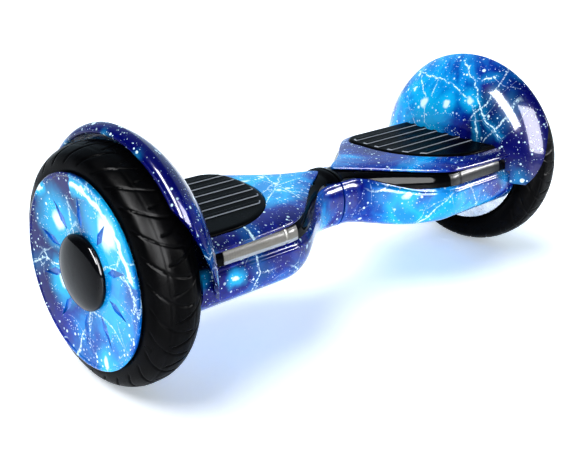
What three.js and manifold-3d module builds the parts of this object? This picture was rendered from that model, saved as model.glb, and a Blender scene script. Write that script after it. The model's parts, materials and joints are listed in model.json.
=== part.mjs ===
// A self balancing board with two 10 inch hub motor wheels, in millimetres.
// +X runs along the axle line to the right wheel, -Y is the front with the lights, +Z is up.
// The origin is on the floor, midway between the wheels.
// Each half is built for the right side, where s is the distance out from the centre plane,
// and the left half is its mirror image.
import * as THREE from "three";
import { mergeVertices } from "three/addons/utils/BufferGeometryUtils.js";
import Module from "manifold-3d";

const wasm = await Module();
wasm.setup();

// ---- Driving dimensions ----
const AXLE_Z = 127; // the 10 inch wheel's radius
const WHEEL_S = 306; // centre plane of the wheel
const GAP = 0.4; // between pieces that touch
const WALL = 3; // moulded shells

const SEAM_S = 1.5; // half of the gap between the two halves
const BODY_END_S = 265; // outboard end of the lower shell
const TIP_S = 13; // inboard tip of the upper shell
const WAIST_HALF_WIDTH = 36;
const BODY_HALF_WIDTH = 100;
const DECK_Z = 164.5;

const DOME_RADIUS = 145.5; // fender, about the axle
const DOME_DEPTH = 68; // from the wheel's centre plane to the dome's inboard apex
const FENDER_EDGE_S = 290;
const FENDER_END_Z = 118;
const FENDER_HOLLOW_R = 132.5; // the space for the tyre
const FENDER_LIP = [[295.5, 141.3], [299.5, 137.8], [301, 133.5]]; // rolled in over the tyre
// The lip runs inboard towards both ends of the fender, through these [s, z] points.
const LIP_TAPER = [[261, 117], [268.5, 132], [276, 151], [284, 178], [291, 197], [302, 216]];
const AXLE_HOLE_R = 12;

// The pad's outline runs on to past, and the fender trims it.
const PAD = { in: 108, past: 259, halfWidth: 78, frontCorner: 104, rearCorner: 30 };
const PAD_Z = { bottom: 162.3, edge: 163.4, top: 166 };
const PAD_BEVEL = 5;
const RIB = { pitch: 19.4, width: 7, first: -40, count: 6, rise: 1.6, margin: 8 };
const POCKET_FLOOR_Z = 160.6;
const POCKET_GAP = 0.8;

const TYRE_SIDES = 28;
const TREAD_R = 127;
const AXLE_R = 8;
const PIVOT = { shaftR: 12.5, boreR: 9, bossR: 20, from: 6, to: 70 };
const PORT_S = 205; // charge socket and power button, on the rear trim
const PORT_Z = 144;
const SOCKET = { outR: 7.4, boreR: 6 };
const BUTTON_R = 5.8;

// ---- Small helpers ----
const clamp01 = (t) => Math.min(1, Math.max(0, t));
const ease = (s, from, to) => {
  const t = clamp01((s - from) / (to - from));
  return t * t * (3 - 2 * t);
};
const mix = (a, b, t) => a + (b - a) * t;
const steps = (from, to, count) =>
  Array.from({ length: count + 1 }, (_, i) => mix(from, to, i / count));

function toSolid(geometry) {
  const bare = geometry.clone();
  bare.deleteAttribute("normal");
  bare.deleteAttribute("uv");
  const merged = mergeVertices(bare, 1e-4);
  return new wasm.Manifold(
    new wasm.Mesh({
      numProp: 3,
      vertProperties: new Float32Array(merged.attributes.position.array),
      triVerts: new Uint32Array(merged.index.array),
    }),
  );
}

function toGeometry(solid) {
  const mesh = solid.getMesh();
  const geometry = new THREE.BufferGeometry();
  geometry.setAttribute("position", new THREE.BufferAttribute(mesh.vertProperties, 3));
  geometry.setIndex(new THREE.BufferAttribute(mesh.triVerts, 1));
  return geometry.toNonIndexed();
}

// A closed solid through rings of the same number of points, each ring counter-clockwise
// when seen from the +X end, ordered by rising x.
function loft(rings) {
  const count = rings[0].length;
  const points = rings.flat();
  const index = [];
  for (let r = 0; r < rings.length - 1; r++)
    for (let i = 0; i < count; i++) {
      const a = r * count + i;
      const b = r * count + ((i + 1) % count);
      index.push(a, b, b + count, a, b + count, a + count);
    }
  const flat = rings[0].map(([, y, z]) => new THREE.Vector2(y, z));
  const last = (rings.length - 1) * count;
  const flatLast = rings[rings.length - 1].map(([, y, z]) => new THREE.Vector2(y, z));
  THREE.ShapeUtils.triangulateShape(flat, []).forEach(([a, b, c]) => index.push(a, c, b));
  THREE.ShapeUtils.triangulateShape(flatLast, []).forEach(([a, b, c]) =>
    index.push(last + a, last + b, last + c),
  );
  const geometry = new THREE.BufferGeometry();
  geometry.setAttribute("position", new THREE.Float32BufferAttribute(points.flat(), 3));
  geometry.setIndex(index);
  return toSolid(geometry);
}

function box(s0, s1, y0, y1, z0, z1) {
  const geometry = new THREE.BoxGeometry(s1 - s0, y1 - y0, z1 - z0);
  geometry.translate((s0 + s1) / 2, (y0 + y1) / 2, (z0 + z1) / 2);
  return toSolid(geometry);
}

// A solid turned about the axle line, from a closed outline of [s, radius] points.
// phase turns the facets, in radians.
function turned(outline, sides = 20, phase = 0) {
  const profile = outline.map(([s, r]) => new THREE.Vector2(r, s));
  profile.push(profile[0].clone());
  const area = THREE.ShapeUtils.area(profile);
  if (area < 0) profile.reverse();
  const geometry = new THREE.LatheGeometry(profile, sides, phase);
  geometry.rotateZ(-Math.PI / 2); // the lathe's own axis, +Y, becomes +X
  geometry.translate(0, 0, AXLE_Z);
  return toSolid(geometry);
}

// A bar along X, Y or Z between two coordinates.
function bar(axis, from, to, radius, [a, b], sides = 12) {
  const geometry = new THREE.CylinderGeometry(radius, radius, to - from, sides);
  const middle = (from + to) / 2;
  if (axis === "x") {
    geometry.rotateZ(-Math.PI / 2);
    geometry.translate(middle, a, b);
  } else if (axis === "y") {
    geometry.translate(a, middle, b);
  } else {
    geometry.rotateX(Math.PI / 2);
    geometry.translate(a, b, middle);
  }
  return toSolid(geometry);
}

const extruded = (shape, depth, curveSegments) =>
  new THREE.ExtrudeGeometry(shape, { depth, bevelEnabled: false, curveSegments });

const outlineOf = (points) => new THREE.Shape(points.map(([a, b]) => new THREE.Vector2(a, b)));

// A plate of a plan outline, THREE.Shape in (s, y), between two heights.
function plate(shape, z0, z1, curveSegments = 6) {
  const geometry = extruded(shape, z1 - z0, curveSegments);
  geometry.translate(0, 0, z0);
  return toSolid(geometry);
}

const union = (...solids) => solids.reduce((all, one) => all.add(one));
const without = (solid, ...cuts) => cuts.reduce((left, cut) => left.subtract(cut), solid);

// ---- The body's outer form ----
const halfWidth = (s) => mix(WAIST_HALF_WIDTH, BODY_HALF_WIDTH, ease(s, 18, 145));
const middleZ = (s) => mix(AXLE_Z, 122, ease(s, 10, 150));
const bottomZ = (s) => mix(91, 74.5, ease(s, 8, 112));
const seamZ = (s) => mix(154, 134.5, ease(s, 14, 108)); // top edge of the lower shell
const shoulderZ = (s) => mix(DECK_Z, 137.5, ease(s, 8, 100)); // where the shoulder would close
const squareness = (s) => mix(2.5, 6, ease(s, 10, 150));
const bellySquareness = (s) => mix(2.3, 2.6, ease(s, 10, 150));
const trimInset = (s) => 0.6 + 3.6 * ease(s, 5, 12) + 1.2 * ease(s, 50, 130);
const lipHalfWidth = (s) =>
  (halfWidth(s) - 6) * Math.pow(1 - Math.exp((TIP_S - 1 - s) / 40), 0.85);

const OUTER_POINTS = 28;
const INNER_POINTS = 20;

// One cross-section: a superellipse above middleZ and another below it, moved in by inset.
function section(s, inset, topOf, count) {
  const wide = halfWidth(s) - inset;
  const middle = middleZ(s);
  const up = topOf(s) - inset - middle;
  const down = middle - bottomZ(s) - inset;
  return Array.from({ length: count }, (_, i) => {
    const angle = (2 * Math.PI * (i + 0.5)) / count;
    const power = 2 / (Math.sin(angle) > 0 ? squareness(s) : bellySquareness(s));
    const y = wide * Math.sign(Math.cos(angle)) * Math.abs(Math.cos(angle)) ** power;
    const rise = Math.abs(Math.sin(angle)) ** power;
    return [s, y, middle + (Math.sin(angle) > 0 ? up : -down) * rise];
  });
}

const STATIONS = [SEAM_S, 8, 16, 28, 46, 68, 92, 118, 150, 190];
const stationsBetween = (from, to) => [
  from,
  ...STATIONS.filter((s) => s > from + 2 && s < to - 2),
  to,
];

const deckTop = () => DECK_Z;

function body(from, to, inset, topOf = deckTop, count = OUTER_POINTS) {
  const insetAt = typeof inset === "number" ? () => inset : inset;
  return loft(stationsBetween(from, to).map((s) => section(s, insetAt(s), topOf, count)));
}

const bodyInside = (from, to, inset, topOf) => body(from, to, inset, topOf, INNER_POINTS);

// The space between two heights given by functions of s, as wide as halfWidthOf(s).
function slice(from, to, halfWidthOf, lowZ, highZ) {
  return loft(
    stationsBetween(from, to).map((s) => {
      const y = halfWidthOf(s);
      const [low, high] = [lowZ(s), highZ(s)];
      return [[s, -y, low], [s, y, low], [s, y, high], [s, -y, high]];
    }),
  );
}

// The fender's dome about the axle, moved in by inset, open towards the wheel. Its outline
// runs on through lip, if there is one.
function dome(inset, { edgeS = FENDER_EDGE_S, lip = [], sides = 32 } = {}) {
  const depthAt = (r) => DOME_DEPTH * Math.sqrt(1 - (r / DOME_RADIUS) ** 3);
  const edgeR = DOME_RADIUS * (1 - ((WHEEL_S - FENDER_EDGE_S) / DOME_DEPTH) ** 2) ** (1 / 3);
  const widest = inset > 0 ? FENDER_HOLLOW_R : DOME_RADIUS;
  const radii = [0, 50, 84, 108, 126, 136, edgeR];
  const outline = radii.map((r) => {
    const slope = (1.5 * DOME_DEPTH ** 2 * r * r) / DOME_RADIUS ** 3 / Math.max(1, depthAt(r));
    const length = Math.hypot(1, slope);
    return [
      WHEEL_S - depthAt(r) + inset / length,
      Math.min(widest, Math.max(0, r - (inset * slope) / length)),
    ];
  });
  outline[outline.length - 1][0] = edgeS;
  outline.push(...lip);
  const [endS] = outline[outline.length - 1];
  return turned([...outline, [endS, 0]], sides);
}

// ---- Materials ----
const material = (color, roughness, metalness = 0) =>
  new THREE.MeshStandardMaterial({ color, roughness, metalness });
const MATERIALS = {
  print: material(0x1a4fc0, 0.12),
  trim: material(0x060608, 0.18),
  rubber: material(0x0c0c0e, 0.7),
  tyre: material(0x101214, 0.75),
  lens: material(0xb9b6ad, 0.2),
  aluminium: material(0xb4b7ba, 0.45, 1),
  steel: material(0x9a9c9e, 0.35, 1),
  rim: material(0xd7dade, 0.3, 1),
  copper: material(0xa8623a, 0.5),
  board: material(0x14522c, 0.55),
  cell: material(0x1d5aa8, 0.5),
  bronze: material(0x9a7440, 0.4, 1),
};

const named = (name, solid, look) => {
  const mesh = new THREE.Mesh(toGeometry(solid), MATERIALS[look]);
  mesh.name = name;
  return mesh;
};

// ---- Shells ----
function padShape(grow) {
  const { in: s0, past, halfWidth: y, frontCorner: front, rearCorner: rear } = PAD;
  const shape = new THREE.Shape();
  shape.moveTo(past, -y - grow);
  shape.lineTo(past, y + grow);
  shape.lineTo(s0 + rear, y + grow);
  shape.absarc(s0 + rear, y - rear, rear + grow, Math.PI / 2, Math.PI, false);
  shape.lineTo(s0 - grow, -y + front);
  shape.absarc(s0 + front, -y + front, front + grow, Math.PI, 1.5 * Math.PI, false);
  return shape;
}

const TYRE_ROOM = { edgeS: WHEEL_S + 10, sides: 28 };
const PLUNGER_S = 178;
const PLUNGER_Y = 44;
const PLUNGER_R = 4;
const axleHole = () => bar("x", 200, 280, AXLE_HOLE_R, [0, AXLE_Z]);

function upperShell() {
  const lip = slice(TIP_S, 262, lipHalfWidth, () => 140, () => 190);
  const skin = without(body(TIP_S, 262, 0), bodyInside(TIP_S - 5, 262.5, WALL)).intersect(lip);
  const seatPlate = plate(padShape(4), POCKET_FLOOR_Z - WALL, DECK_Z - 1);
  const padSeat = seatPlate.intersect(body(60, 262, 1));
  const pocket = plate(padShape(POCKET_GAP), POCKET_FLOOR_Z, DECK_Z + 6);
  const deck = without(union(skin, padSeat), dome(WALL - 0.5, TYRE_ROOM), pocket);
  const pastLip = loft(
    LIP_TAPER.map(([s, z]) => [[s, -160, 60], [s, 160, 60], [s, 160, z], [s, -160, z]]),
  );
  // The arch ends above the trim and the lower shell where it passes through the body.
  const arch = without(dome(0, { lip: FENDER_LIP }), dome(WALL, TYRE_ROOM)).intersect(
    without(
      box(200, 320, -160, 160, FENDER_END_Z, 300),
      slice(200, 300, (s) => halfWidth(s) + 1, () => 60, () => 135.2),
      pastLip,
    ),
  );
  const plungerHoles = [-1, 1].map((side) =>
    bar("z", 150, 170, PLUNGER_R + 0.6, [PLUNGER_S, side * PLUNGER_Y]),
  );
  return without(
    union(deck, arch),
    dome(WALL, TYRE_ROOM),
    ...plungerHoles,
    axleHole(),
  );
}

function lowerShell() {
  const outer = body(SEAM_S, BODY_END_S, 0, shoulderZ);
  const cavity = bodyInside(SEAM_S + WALL, BODY_END_S - WALL, WALL, shoulderZ);
  // Between the dome's apex and the end wall, a shelf closes the shell on top.
  const shelf = box(238, BODY_END_S - 1, -80, 80, 131, 134);
  const below = slice(0, 280, () => 120, () => 50, seamZ);
  const opening = slice(26, 236, (s) => halfWidth(s) - 11, () => 122, () => 190);
  return without(
    union(without(outer, cavity, opening), shelf).intersect(below),
    bar("x", -5, 30, PIVOT.bossR + 1, [0, AXLE_Z], 16),
    axleHole(),
  );
}

const LENS = { from: 132, to: 234, low: 138, high: 151.5, thick: 3 };

function sideTrim(isRight) {
  const outer = body(SEAM_S, 262, trimInset);
  const cavity = bodyInside(SEAM_S + WALL, 270, (s) => trimInset(s) + WALL);
  const above = slice(0, 280, () => 120, (s) => seamZ(s) + GAP, () => 200);
  const window = slice(34, 270, (s) => halfWidth(s) - 20, () => 120, () => 200);
  const { from, to, low, high } = LENS;
  const lightGap = box(from - GAP, to + GAP, -110, 0, low - GAP, high + GAP);
  const port = bar("y", 60, 110, isRight ? BUTTON_R + 0.5 : SOCKET.outR + 0.5, [PORT_S, PORT_Z], 16);
  return without(
    without(outer, cavity).intersect(above),
    window,
    dome(-GAP),
    bar("x", -5, 30, PIVOT.bossR + 1, [0, AXLE_Z], 16),
    lightGap,
    port,
  );
}

function lightLens() {
  const { from, to, low, high, thick } = LENS;
  const skin = without(
    body(from, to, (s) => trimInset(s) - 0.6),
    body(from - 1, to + 1, (s) => trimInset(s) - 0.6 + thick),
  );
  return skin.intersect(box(from, to, -110, 0, low, high));
}

function footPad() {
  const { bottom, edge, top } = PAD_Z;
  const base = wasm.Manifold.hull([
    plate(padShape(0), bottom, edge),
    plate(padShape(-PAD_BEVEL), bottom, top),
  ]);
  const ribs = Array.from({ length: RIB.count }, (_, k) => {
    const y = RIB.first + k * RIB.pitch;
    return box(PAD.in, PAD.past, y - RIB.width / 2, y + RIB.width / 2, top - 0.5, top + RIB.rise);
  });
  const field = plate(padShape(-RIB.margin), top - 0.5, top + RIB.rise);
  return without(union(base, field.intersect(union(...ribs))), dome(-POCKET_GAP));
}

// ---- Chassis and what it carries ----
const BATTERY_SHIFT = 2; // keeps the half's weight over the axle, against the charge socket's
const FRAME_Z = [110, 118];
const RAIL = { from: 140, to: 236, inside: 47, outside: 58, bottom: 90 };

function frame(boreR) {
  const outline = outlineOf([
    [50, -16], [72, -20], [140, -58], [236, -58], [236, 58], [140, 58], [72, 20], [50, 16],
  ]);
  const { bossR, from, to } = PIVOT;
  const rail = (y0, y1) => box(RAIL.from, RAIL.to, y0, y1, RAIL.bottom, FRAME_Z[1]);
  const posts = [[160, -48], [196, -48], [160, 48], [196, 48]].map(([s, y]) =>
    bar("z", 117.5, 121.5, 3, [s, y], 6),
  );
  return without(
    union(
      plate(outline, ...FRAME_Z),
      bar("x", from, to, bossR, [0, AXLE_Z], 16),
      box(50, to, -16, 16, 112.5, 120),
      box(214, 236, -28, 28, 112.5, AXLE_Z - 0.3),
      rail(-RAIL.outside, -RAIL.inside),
      rail(RAIL.inside, RAIL.outside),
      ...posts,
    ),
    bar("x", 0, 90, boreR, [0, AXLE_Z], 16),
    bar("x", to + GAP / 2, 80, bossR - 1.5, [0, AXLE_Z], 16),
    bar("x", 205, 240, AXLE_R + GAP, [0, AXLE_Z], 24),
    ...CLAMP_BOLTS.map((y) => bar("z", 90, 130, 3.4, [225, y], 8)),
  );
}

const CLAMP_BOLTS = [-19, 19];

const axleClamp = () =>
  without(
    box(215, 235, -28, 28, AXLE_Z + 0.3, 143),
    bar("x", 205, 240, AXLE_R + GAP, [0, AXLE_Z], 24),
    ...CLAMP_BOLTS.map((y) => bar("z", 120, 150, 3.4, [225, y], 8)),
  );

const clampBolt = (y) =>
  union(bar("z", 108, 144, 3, [225, y], 8), bar("z", 143.4, 148, 5, [225, y], 6));

const gyroBoard = () =>
  union(
    box(155, 201, -53, 53, 121.9, 123.5),
    box(168, 188, -8, 8, 123.4, 125.5),
    box(172, 184, 20, 30, 123.4, 126.4),
    box(160, 166, -30, -20, 123.4, 127.5),
  );

const padPlunger = (side) =>
  union(
    bar("z", 128, PAD_Z.bottom - GAP, PLUNGER_R, [PLUNGER_S, side * PLUNGER_Y], 8),
    bar("z", 146, 149, PLUNGER_R + 3, [PLUNGER_S, side * PLUNGER_Y], 8),
  );

const ledBoard = () => box(168, 226, -85, -83.4, 140, 150);

const batteryPack = () =>
  union(
    box(114, 216, -44, 44 - BATTERY_SHIFT, 88.6, 109.6),
    box(106, 114.5, -14, 14, 96, 108),
  );

const SINK = { from: 120, to: 214, halfWidth: 42, bottom: 86.5, base: 5.5, top: 96 };

function heatSink() {
  const { from, to, halfWidth: half, bottom, base, top } = SINK;
  const fins = steps(-half + 1.5, half - 1.5, 6).map((y) =>
    box(from, to, y - 1.5, y + 1.5, bottom, top),
  );
  return union(box(from, to, -half, half, bottom, bottom + base), ...fins);
}

function controlBoard() {
  const z = SINK.top + GAP;
  const capacitors = [150, 168, 186].map((s) => bar("z", z + 1, z + 13, 6, [s, 26], 8));
  const transistors = steps(124, 196, 5).map((s) => box(s, s + 8, -30, -24, z + 1, z + 12));
  return union(
    box(116, 212, -40, 40, z, z + 1.6),
    box(130, 142, -6, 10, z + 1, z + 7),
    ...transistors,
    ...capacitors,
  );
}

// ---- Centre pivot ----
const ring = (s0, s1, r0, r1, sides = 16) =>
  turned([[s0, r0], [s1, r0], [s1, r1], [s0, r1]], sides);

const pivotShaft = () => ring(-PIVOT.to, PIVOT.to + 5, PIVOT.boreR, PIVOT.shaftR);
const pivotBush = (s0) =>
  union(ring(s0, s0 + 18, PIVOT.shaftR + 0.3, 15.6), ring(s0, s0 + 1.5, PIVOT.shaftR + 0.3, 15.6));
const circlip = () =>
  without(ring(70.5, 72.5, PIVOT.shaftR + 0.3, 17), box(68, 78, -3, 3, AXLE_Z, AXLE_Z + 30));
const waistGasket = () => ring(-1, 1, 24, 32.5, 24);

function wireHarness() {
  const connector = (s0) => box(s0, s0 + 16, -9, 9, AXLE_Z - 6, AXLE_Z + 6);
  return union(
    bar("x", -92, 94, 5.5, [0, AXLE_Z], 12),
    connector(-104),
    connector(88),
  );
}

// ---- Wheel, at WHEEL_S; u is the distance outboard of its centre plane ----
const wheelTurned = (points, sides, phase) =>
  turned(points.map(([u, r]) => [WHEEL_S + u, r]), sides, phase);

function mirrored(points) {
  return [...points, ...points.map(([u, r]) => [-u, r]).reverse()];
}

function tyre() {
  // A facet, not a corner, faces the floor, and its flat stands at the tread radius.
  const apothem = Math.cos(Math.PI / TYRE_SIDES);
  const outside = mirrored([
    [21.5, 82.6], [21.5, 91.8], [29, 102], [27, 117], [18, 125], [8, TREAD_R],
  ]);
  const inside = mirrored([[14, 82.6], [20, 102], [11, 116]]).reverse();
  const grow = ([u, r]) => [u, r / apothem];
  return wheelTurned([...outside, ...inside].map(grow), TYRE_SIDES, Math.PI / TYRE_SIDES);
}

const rim = () =>
  wheelTurned([
    [10, 17.6], [20, 17.6], [20, 68], [27, 80], [27, 91], [24, 91], [22, 82], [-22, 82],
    [-24, 91], [-27, 91], [-27, 75], [-24, 72.5], [14, 72.5], [14, 23], [10, 23],
  ]);

const motorCover = () =>
  wheelTurned([
    [-27, 17.6], [-27, 64], [-24.5, 72], [-20.5, 72], [-22, 62], [-22, 23], [-17, 23], [-17, 17.6],
  ]);

const STATOR = { teeth: 12, tipR: 70.5, rootR: 48 };

function stator() {
  const { teeth, tipR, rootR } = STATOR;
  const outline = [];
  for (let k = 0; k < teeth; k++)
    for (const [turn, r] of [[0, tipR], [0.75, tipR], [0.7, rootR], [0.95, rootR]]) {
      const angle = ((k + turn) * 2 * Math.PI) / teeth;
      outline.push([r * Math.cos(angle), r * Math.sin(angle)]);
    }
  const shape = outlineOf(outline);
  const hole = new THREE.Path();
  hole.absarc(0, 0, AXLE_R + GAP, 0, 2 * Math.PI, true);
  shape.holes.push(hole);
  const geometry = extruded(shape, 22, 12);
  geometry.rotateY(Math.PI / 2);
  geometry.translate(WHEEL_S - 15, 0, AXLE_Z);
  return toSolid(geometry);
}

const bearing = (u0) => ring(WHEEL_S + u0, WHEEL_S + u0 + 9.4, AXLE_R + GAP, 17.2);
const axle = () => bar("x", 212, WHEEL_S + 22, AXLE_R, [0, AXLE_Z], 20);

const COVER = { edgeR: 102, edgeU: 33, hubU: 29, hubR: 42, thick: 2.8, kites: 10 };

function wheelCover() {
  const { edgeR, edgeU, hubU, hubR, thick, kites } = COVER;
  const back = hubU - thick;
  const disc = wheelTurned([
    [hubU, 0], [hubU, hubR], [edgeU, edgeR - 3], [edgeU - 0.8, edgeR], [edgeU - thick, edgeR],
    [back, hubR], [20.4, hubR], [20.4, hubR - 4], [back, hubR - 4], [back, 0],
  ], 30);
  const kite = outlineOf([[50, 0], [66, 4.2], [82, 0], [66, -4.2]]);
  const cuts = Array.from({ length: kites }, (_, k) => {
    const geometry = extruded(kite, 10, 1);
    geometry.rotateZ((2 * Math.PI * (k + 0.5)) / kites);
    geometry.rotateY(Math.PI / 2);
    geometry.translate(WHEEL_S + mix(hubU, edgeU, 0.42) - 1, 0, AXLE_Z);
    return toSolid(geometry);
  });
  return without(disc, ...cuts);
}

const CAP = { radius: 40, from: COVER.hubU + GAP, height: 11 };

function hubCap() {
  const { radius, from, height } = CAP;
  const points = steps(0, Math.PI / 2, 4).map((a) => [
    from + 2 + height * Math.cos(a),
    radius * Math.sin(a),
  ]);
  return wheelTurned([...points, [from, radius], [from, 0]], 24);
}

function tyreValve() {
  return union(
    bar("x", WHEEL_S - 35.5, WHEEL_S - 27 - GAP, 3, [0, AXLE_Z + 85.5], 10),
    bar("x", WHEEL_S - 38, WHEEL_S - 33, 4, [0, AXLE_Z + 85.5], 10),
  );
}

// ---- Rear port and button ----
const powerButton = () =>
  union(
    bar("y", 82, 96.8, BUTTON_R, [PORT_S, PORT_Z], 16),
    bar("y", 80, 82.3, BUTTON_R + 2, [PORT_S, PORT_Z], 16),
  );

const chargeSocket = () =>
  without(
    union(
      bar("y", 70, 94.2, SOCKET.outR, [PORT_S, PORT_Z], 16),
      bar("y", 77.4, 81.4, SOCKET.outR + 0.9, [PORT_S, PORT_Z], 16),
    ),
    bar("y", 76, 98, SOCKET.boreR, [PORT_S, PORT_Z], 16),
  );

const FLAP = { low: 135.9, high: 150, y0: 95.1, y1: 97.1, half: 12, hingeZ: 136.2, hingeY: 96.4 };

function chargeFlap() {
  const { low, high, y0, y1, half } = FLAP;
  return union(
    box(PORT_S - half, PORT_S + half, y0, y1, low, high),
    bar("y", 92, y0 + 0.3, 3.9, [PORT_S, PORT_Z], 14),
    bar("x", PORT_S - half, PORT_S + half, 1.3, [FLAP.hingeY, FLAP.hingeZ], 10),
  );
}

// ---- Assembly ----
const board = new THREE.Group();

for (const side of ["left", "right"]) {
  const isRight = side === "right";
  const half = new THREE.Group();
  half.scale.x = isRight ? 1 : -1;
  const frameBore = isRight ? 16 : PIVOT.shaftR + GAP;
  half.add(
    named(`upper_shell_${side}`, upperShell(), "print"),
    named(`lower_shell_${side}`, lowerShell(), "print"),
    named(`side_trim_${side}`, sideTrim(isRight), "trim"),
    named(`light_lens_${side}`, lightLens(), "lens"),
    named(`led_board_${side}`, ledBoard(), "board"),
    named(`foot_pad_${side}`, footPad(), "rubber"),
    named(`pad_plunger_${side}_front`, padPlunger(-1), "rubber"),
    named(`pad_plunger_${side}_rear`, padPlunger(1), "rubber"),
    named(`frame_${side}`, frame(frameBore), "aluminium"),
    named(`axle_clamp_${side}`, axleClamp(), "aluminium"),
    named(`clamp_bolt_${side}_front`, clampBolt(CLAMP_BOLTS[0]), "steel"),
    named(`clamp_bolt_${side}_rear`, clampBolt(CLAMP_BOLTS[1]), "steel"),
    named(`gyro_board_${side}`, gyroBoard(), "board"),
    named(`axle_${side}`, axle(), "steel"),
    named(`motor_stator_${side}`, stator(), "copper"),
    named(`inner_bearing_${side}`, bearing(-26.6), "steel"),
    named(`outer_bearing_${side}`, bearing(10.3), "steel"),
    named(`motor_rim_${side}`, rim(), "rim"),
    named(`motor_cover_${side}`, motorCover(), "trim"),
    named(`tyre_${side}`, tyre(), "tyre"),
    named(`tyre_valve_${side}`, tyreValve(), "steel"),
    named(`wheel_cover_${side}`, wheelCover(), "print"),
    named(`hub_cap_${side}`, hubCap(), "trim"),
  );
  if (isRight)
    half.add(
      named("control_board", controlBoard(), "board"),
      named("heat_sink", heatSink(), "aluminium"),
      named("pivot_bush_inner", pivotBush(PIVOT.from + 1), "bronze"),
      named("pivot_bush_outer", pivotBush(PIVOT.to - 19), "bronze"),
      named("power_button", powerButton(), "trim"),
    );
  else
    half.add(
      named("battery_pack", batteryPack(), "cell"),
      named("charge_socket", chargeSocket(), "steel"),
      named("charge_port_flap", chargeFlap(), "rubber"),
    );
  board.add(half);
}

board.add(
  named("pivot_shaft", pivotShaft(), "steel"),
  named("pivot_circlip", circlip(), "steel"),
  named("waist_gasket", waistGasket(), "rubber"),
  named("wire_harness", wireHarness(), "rubber"),
);

export default board;
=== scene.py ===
"""The looks of a self balancing board with 10 inch hub motor wheels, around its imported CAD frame.

Each half is made for the right side, where s is the distance out from the centre plane, and
the left half is its mirror image. Outlines are in millimetres and meshes in metres.
"""

import json
import math

import bmesh
import bpy
import numpy as np
from mathutils import Matrix, Quaternion, Vector


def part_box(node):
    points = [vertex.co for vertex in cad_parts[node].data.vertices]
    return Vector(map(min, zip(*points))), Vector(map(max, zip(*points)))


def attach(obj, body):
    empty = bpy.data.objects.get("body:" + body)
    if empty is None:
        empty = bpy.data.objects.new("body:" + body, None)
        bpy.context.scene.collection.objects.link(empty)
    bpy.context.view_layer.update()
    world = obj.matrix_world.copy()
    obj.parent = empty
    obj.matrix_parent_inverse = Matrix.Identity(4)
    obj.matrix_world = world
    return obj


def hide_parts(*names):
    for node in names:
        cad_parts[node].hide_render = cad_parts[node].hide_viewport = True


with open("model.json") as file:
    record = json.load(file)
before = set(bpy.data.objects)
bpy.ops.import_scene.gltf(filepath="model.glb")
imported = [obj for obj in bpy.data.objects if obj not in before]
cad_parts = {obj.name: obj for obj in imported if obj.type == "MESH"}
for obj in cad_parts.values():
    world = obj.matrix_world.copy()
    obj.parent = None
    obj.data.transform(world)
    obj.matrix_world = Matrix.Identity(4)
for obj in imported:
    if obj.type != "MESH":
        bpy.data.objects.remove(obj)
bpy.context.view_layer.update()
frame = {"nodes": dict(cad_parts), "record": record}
MM = 0.001


def cad(node):
    """The lowest and highest corner of a CAD node, in millimetres."""
    low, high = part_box(node)
    return low / MM, high / MM


# ---- Sizes, from the frame ----
TYRE_LOW, TYRE_HIGH = cad("tyre_right")
AXLE_Z = (TYRE_LOW.z + TYRE_HIGH.z) / 2
WHEEL_S = (TYRE_LOW.x + TYRE_HIGH.x) / 2
TREAD_R = (TYRE_HIGH.z - TYRE_LOW.z) / 2
LOWER_LOW, LOWER_HIGH = cad("lower_shell_right")
UPPER_LOW = cad("upper_shell_right")[0]
SEAM_S, BODY_END_S = LOWER_LOW.x, LOWER_HIGH.x
TIP_S = UPPER_LOW.x
FENDER_END_Z = UPPER_LOW.z
WALL = 3.0

# ---- The body's outer form, as in the CAD ----
WAIST_HALF_WIDTH, BODY_HALF_WIDTH = 36.0, 100.0
DECK_Z = 164.5
DOME_RADIUS, DOME_DEPTH = 145.5, 68.0
FENDER_EDGE_S, FENDER_HOLLOW_R = 290.0, 132.5
LIP_REACH, LIP_DROP = 11.0, 9.3
LIP_TAPER = [(261, 117), (268.5, 132), (276, 151), (284, 178), (291, 197), (302, 216)]
SEAM_GAP, EDGE_ROUND = 0.4, 1.2
ROOM_TOP_Z = 135.2
DECK_LIP_LOW_Z = 141.0


def ease(s, start, end):
    t = np.clip((np.asarray(s, float) - start) / (end - start), 0, 1)
    return t * t * (3 - 2 * t)


def mix(a, b, t):
    return a + (b - a) * t


def half_width(s):
    return mix(WAIST_HALF_WIDTH, BODY_HALF_WIDTH, ease(s, 18, 145))


def middle_z(s):
    return mix(AXLE_Z, 122, ease(s, 10, 150))


def bottom_z(s):
    return mix(91, 74.5, ease(s, 8, 112))


def seam_z(s):
    return mix(154, 134.5, ease(s, 14, 108))


def shoulder_z(s):
    return mix(DECK_Z, 137.5, ease(s, 8, 100))


def deck_z(s):
    return DECK_Z


def trim_inset(s):
    return 0.6 + 3.6 * ease(s, 5, 12) + 1.2 * ease(s, 50, 130)


def lip_half_width(s):
    return (half_width(s) - 6) * (1 - np.exp((TIP_S - 1 - s) / 40)) ** 0.85


# ---- Meshes ----
def in_scene(name, data):
    obj = bpy.data.objects.new(name, data)
    bpy.context.collection.objects.link(obj)
    return obj


def make_object(name, points, faces):
    """A mesh object from points in millimetres."""
    mesh = bpy.data.meshes.new(name)
    mesh.from_pydata([tuple(p) for p in np.asarray(points, float) * MM], [], faces)
    mesh.validate()
    return in_scene(name, mesh)


def loft(name, rings, closed=False):
    """A solid through rings of (s, y, z) points, capped at its ends unless it closes on itself."""
    rings = np.asarray(rings, float)
    rows, count = rings.shape[:2]
    faces = []
    for r in range(rows if closed else rows - 1):
        here, there = r * count, ((r + 1) % rows) * count
        for i in range(count):
            j = (i + 1) % count
            faces.append((here + i, here + j, there + j, there + i))
    if not closed:
        faces.append(tuple(range(count - 1, -1, -1)))
        faces.append(tuple((rows - 1) * count + i for i in range(count)))
    obj = make_object(name, rings.reshape(-1, 3), faces)
    face_outwards(obj)
    return obj


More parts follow.
